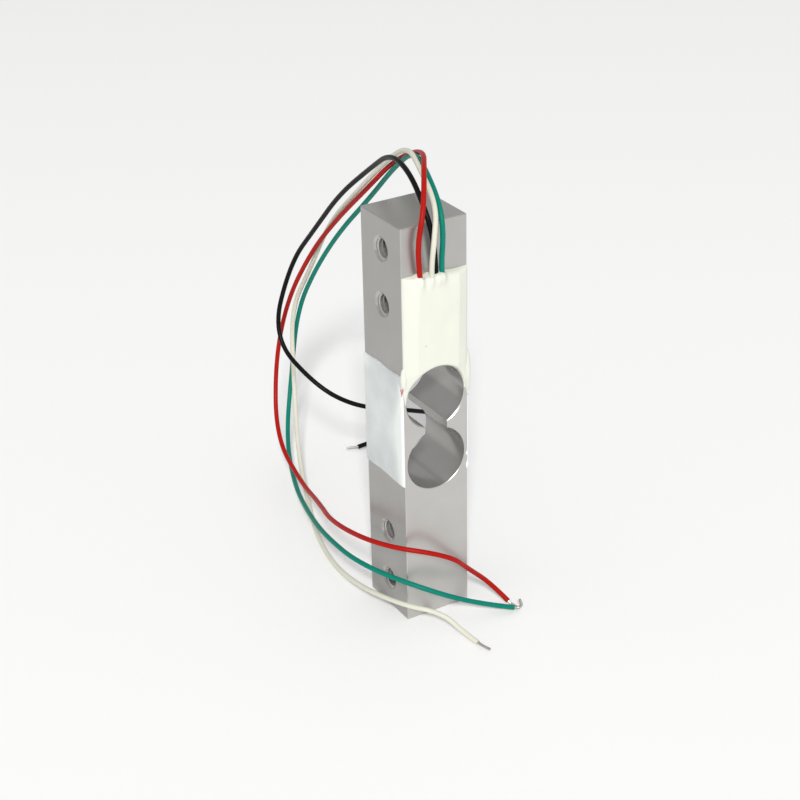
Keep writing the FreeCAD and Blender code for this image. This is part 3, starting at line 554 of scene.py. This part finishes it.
def mark_faces(bar):
    """Stores which faces are walls of an opening, and how dark each face is painted as painted shade."""
    opening = bar.data.attributes.new("opening", "FLOAT", "FACE")
    painted_shade = bar.data.attributes.new("painted_shade", "FLOAT", "FACE")
    for face in bar.data.polygons:
        centre, normal = face.center / MM, face.normal
        side = abs(normal.x) > 0.5 and HALF - abs(centre.x) < EDGE_BREAK + 0.01
        front = abs(normal.y) > 0.4 and HALF - abs(centre.y) < RIM_BREAK + 0.01
        end = abs(normal.z) > 0.5 and min(centre.z, LENGTH - centre.z) < EDGE_BREAK + 0.01
        tapped = min(abs(centre.z - level) for level in HOLE_LEVELS) < 2.5
        if side or front or end:
            # Front faces above that level are painted darker: painted shade.
            shaded = front and centre.y < 0 and centre.z > SHADED_FRONT_LEVEL
            kind = "dull front" if shaded else "front" if front else "side" if side else "end"
            opening.data[face.index].value = 0.0
            # Outside faces: the sides, the end and the upper front are painted darker than the front, as painted
            # shade.
            painted_shade.data[face.index].value = OUTSIDE_PAINTED_SHADE[kind]
        else:
            opening.data[face.index].value = 1.0
            # Walls of the tapped holes and the cut-out are painted darker: painted shade in the recesses.
            painted_shade.data[face.index].value = OPENING_PAINTED_SHADE["tapped" if tapped else "cut-out"]


def tapped_bar():
    """The bar with its binocular cut-out, broken rims and real threads in its four holes."""
    shape = block((2 * HALF, 2 * HALF, LENGTH), (0.0, 0.0, LENGTH / 2))
    bmesh.ops.bevel(shape, geom=shape.edges[:], offset=EDGE_BREAK, segments=1, affect="EDGES")
    bar = piece("tapped_bar", shape)
    for level in (UPPER_ROUND, LOWER_ROUND):
        cut_away(bar, round_cutter(level))
    slot = block((2 * SLOT_HALF, 2 * HALF + 2, UPPER_ROUND - LOWER_ROUND),
                 (0.0, 0.0, (UPPER_ROUND + LOWER_ROUND) / 2))
    cut_away(bar, piece("slot_cutter", slot))
    break_rims(bar)
    for level in HOLE_LEVELS:
        cut_away(bar, drill(level))
        cut_away(bar, thread_cutter(level))
    bar.data.shade_smooth()
    bar.data.set_sharp_from_angle(angle=math.radians(28))
    mark_faces(bar)
    finish_piece(bar, "aluminium")
    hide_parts("spring_beam")


def skin(name, across, along, size, thickness, border, fullness, lay):
    """A thin coat as a closed form: a fine grid whose outer side stands off the face by the thickness.

    across and along are the ranges of the two face coordinates, thickness(a, b, inside) the coat's height there,
    border(a, b) the distance inside the coat's outline, fullness(a, b) how white the coat is there, and
    lay(a, b, height) the point in the bar's frame.
    """
    (a_low, a_high), (b_low, b_high) = across, along
    columns, rows = round((a_high - a_low) / size), round((b_high - b_low) / size)
    shape = bmesh.new()
    bmesh.ops.create_grid(shape, x_segments=columns, y_segments=rows, size=0.5)
    bmesh.ops.scale(shape, vec=(a_high - a_low, b_high - b_low, 1.0), verts=shape.verts)
    bmesh.ops.translate(shape, vec=((a_low + a_high) / 2, (b_low + b_high) / 2, 0.0), verts=shape.verts)
    step = 0.02
    for vert in shape.verts:
        a, b = vert.co.x, vert.co.y
        inside = border(a, b)
        if abs(inside) < 0.75 * size:
            slope = Vector((border(a + step, b) - border(a - step, b),
                            border(a, b + step) - border(a, b - step))) / (2 * step)
            if slope.length > 0.1:
                move = slope * (inside / slope.length_squared)
                vert.co.x, vert.co.y = a - move.x, b - move.y
    outside = [vert for vert in shape.verts if border(vert.co.x, vert.co.y) < -0.02 * size]
    bmesh.ops.delete(shape, geom=outside, context="VERTS")
    full = shape.verts.layers.float.new("fullness")
    backs = bmesh.ops.extrude_face_region(shape, geom=shape.faces[:])
    back = {item for item in backs["geom"] if isinstance(item, bmesh.types.BMVert)}
    for vert in shape.verts:
        a, b = vert.co.x, vert.co.y
        height = -COAT_BED if vert in back else max(0.0, thickness(a, b, max(0.0, border(a, b))))
        vert[full] = fullness(a, b)
        vert.co = lay(a, b, height)
    return piece(name, shape)


def lump(name, centre, radii, fullness):
    """A smooth blob of coating."""
    shape = bmesh.new()
    bmesh.ops.create_uvsphere(shape, u_segments=32, v_segments=20, radius=1.0)
    full = shape.verts.layers.float.new("fullness")
    for vert in shape.verts:
        wobble = 1.0 + 0.06 * noise.noise(vert.co * 1.6 + Vector(centre))
        vert.co = [place + radius * part * wobble for place, radius, part in zip(centre, radii, vert.co)]
        vert[full] = fullness
    return piece(name, shape)


def lip(inside, width):
    """How full the coat is at this distance from its outline: a rounded edge of that width."""
    share = min(1.0, inside / width)
    return math.sqrt(1.0 - (1.0 - share) ** 2)


def hump(distance, width):
    """A smooth bump: 1 in the middle and almost nothing past two widths."""
    return math.exp(-(distance / width) ** 2)


def front_border(x, z):
    """Distance inside the front coat's outline."""
    top = (FRONT_COAT_TOP - 0.045 * x + 0.1 * math.sin(1.1 * x + 0.6)
           + sum(0.35 * hump(x - exit_x, 0.6) for exit_x in EXITS))
    side = HALF - FRONT_COAT_INSET - abs(x) - 0.12 * max(0.0, 45.5 - z)
    rim = math.hypot(x, z - UPPER_ROUND) - ROUND_RADIUS - 0.01
    foot = z - FRONT_COAT_FOOT["left" if x < 0 else "right"]
    return min(top - z, side, rim, foot)


def front_thickness(x, z, inside):
    """The ivory coat: flat and thick over the terminal, drawn up round each lead."""
    swell = 1.05 + 0.45 * hump(z - 63.0, 4.0) + 0.25 * hump(z - 57.0, 5.0)
    wave = 0.1 * noise.noise(Vector((x * 0.35, z * 0.3, 1.7)))
    edge = 0.3 + 0.7 * min(1.0, (HALF - abs(x)) / 2.4)
    collars = sum(0.55 * hump(x - exit_x, 0.6) * hump(z - 65.7, 1.3) for exit_x in EXITS)
    thin_foot = min(1.0, max(0.25, (z - FRONT_COAT_FOOT["left"]) / 6.0))
    return (swell + wave) * edge * thin_foot * lip(inside, 0.7) + collars * lip(inside, 0.3)


def front_fullness(x, z):
    """Even ivory, a little thinner near the long edges and towards the foot."""
    edge = min(1.0, (HALF - abs(x)) / 1.2)
    foot = min(1.0, max(0.0, (z - 43.0) / 5.0))
    return 0.55 + 0.25 * edge * foot


def over_rim(x, z, height):
    """The front coat follows the broken rim of the upper round."""
    sink = max(0.0, RIM_BREAK - (math.hypot(x, z - UPPER_ROUND) - ROUND_RADIUS))
    return (x, -HALF - height + sink, z)


def side_border(y, z):
    """Distance inside the outline of a side coat; the two are alike."""
    top = SIDE_COAT_TOP + 0.12 * math.sin(0.9 * y) - z
    bottom = z - SIDE_COAT_BOTTOM - 0.1 * math.sin(0.7 * y + 1.0)
    return min(top, bottom, HALF - SIDE_COAT_INSET - abs(y))


def left_thickness(y, z, inside):
    """A thin, slightly wavy skin with a fuller bead at the near edge, thinnest over the wires that round it."""
    wave = 0.05 * noise.noise(Vector((y * 0.4, z * 0.25, 4.2)))
    bead = 0.06 * hump(y + 5.6, 1.2)
    wires = -5.85 - 0.3375 * (45.9 - z)
    window = hump(y - wires, 0.35) * hump(z - 45.9, 1.5)
    return (0.33 + wave + bead * (1.0 - window) - 0.2 * window) * lip(inside, 0.35)


def side_fullness(y, z):
    """Whiter along the near edge and in the upper far corner, greyer and uneven between them."""
    reach = 0.9 + 1.6 * hump(z - 36.0, 7.0)
    near = 0.75 * hump(y + 6.3, reach) * min(1.0, max(0.0, (47.5 - z) / 6.0))
    corner = 0.45 * hump(y - 5.6, 1.6) * hump(z - 47.6, 1.8)
    middle = 0.22 * hump(z - 39.0, 5.0)
    drift = 0.14 * noise.noise(Vector((y * 0.25, z * 0.14, 2.9)))
    return max(0.0, min(1.0, 0.2 + near + corner + middle + drift))


def right_thickness(y, z, inside):
    """The hidden skin over the other pair of gauges."""
    wave = 0.05 * noise.noise(Vector((y * 0.4, z * 0.25, 8.1)))
    return (0.34 + wave) * lip(inside, 0.35)


def coatings():
    """The three coats over the gauges and the terminal, with the blobs that ran over the bar's long edges."""
    width = (-HALF, HALF)
    side_reach = (27.0, 48.6)
    front = skin("ivory_coat", width, (42.5, 67.2), 0.13, front_thickness, front_border, front_fullness, over_rim)
    finish_piece(front, "terminal_coating")
    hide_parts("terminal_coating")
    left = skin("left_coat", width, side_reach, 0.15, left_thickness, side_border, side_fullness,
                lambda y, z, height: (-HALF - height, y, z))
    finish_piece(left, "gauge_coating")
    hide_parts("left_gauge_coating")
    right = skin("right_coat", width, side_reach, 0.15, right_thickness, side_border, side_fullness,
                 lambda y, z, height: (HALF + height, y, z))
    finish_piece(right, "gauge_coating")
    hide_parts("right_gauge_coating")
    for name, slot, centre, radii, fullness in (
        ("near_edge_blob", "terminal_coating", (-6.2, -6.28, 48.0), (0.58, 0.58, 2.2), 0.6),
        ("right_edge_blob", "terminal_coating", (6.38, -6.05, 46.4), (0.62, 0.85, 4.4), 0.3),
        ("upper_drip", "gauge_coating", (6.3, -6.2, 30.3), (0.3, 0.3, 0.45), 0.9),
        ("lower_drip", "gauge_coating", (6.35, -6.15, 28.0), (0.38, 0.35, 0.9), 0.9),
    ):
        finish_piece(lump(name, centre, radii, fullness), slot)


def small_pieces():
    """Every CAD piece that still shows gets its finish."""
    slots = {entry["node"]: entry["material_slot"] for entry in frame["record"]["subparts"]}
    for node, obj in frame["nodes"].items():
        obj.data.materials.clear()
        obj.data.materials.append(FINISH[slots[node]])


def studio():
    """A wide pale floor, one key lamp and an even sky."""
    material, surface, _, _ = shader("pale_floor")
    surface.inputs["Base Color"].default_value = (0.95, 0.95, 0.945, 1.0)
    surface.inputs["Roughness"].default_value = 0.9
    surface.inputs["Specular IOR Level"].default_value = 0.1
    shape = bmesh.new()
    bmesh.ops.create_grid(shape, x_segments=2, y_segments=2, size=FLOOR_HALF)
    floor = piece("floor", shape)
    floor.data.materials.append(material)

    world = bpy.data.worlds.new("sky")
    scene.world = world
    world.use_nodes = True
    sky = world.node_tree.nodes["Background"]
    sky.inputs["Color"].default_value = (1.0, 1.0, 1.0, 1.0)
    sky.inputs["Strength"].default_value = SKY_STRENGTH

    data = bpy.data.lights.new("key", "AREA")
    data.energy = KEY_POWER
    data.size = KEY_SIZE
    lamp = bpy.data.objects.new("key", data)
    scene.collection.objects.link(lamp)
    away = away_from_part(KEY_AZIMUTH, KEY_ELEVATION)
    lamp.location = Vector(KEY_TARGET) + away * KEY_DISTANCE
    lamp.rotation_euler = away.to_track_quat("Z", "Y").to_euler()


camera()
small_pieces()
leads()
tapped_bar()
coatings()
studio()
scene.view_settings.view_transform = "Standard"
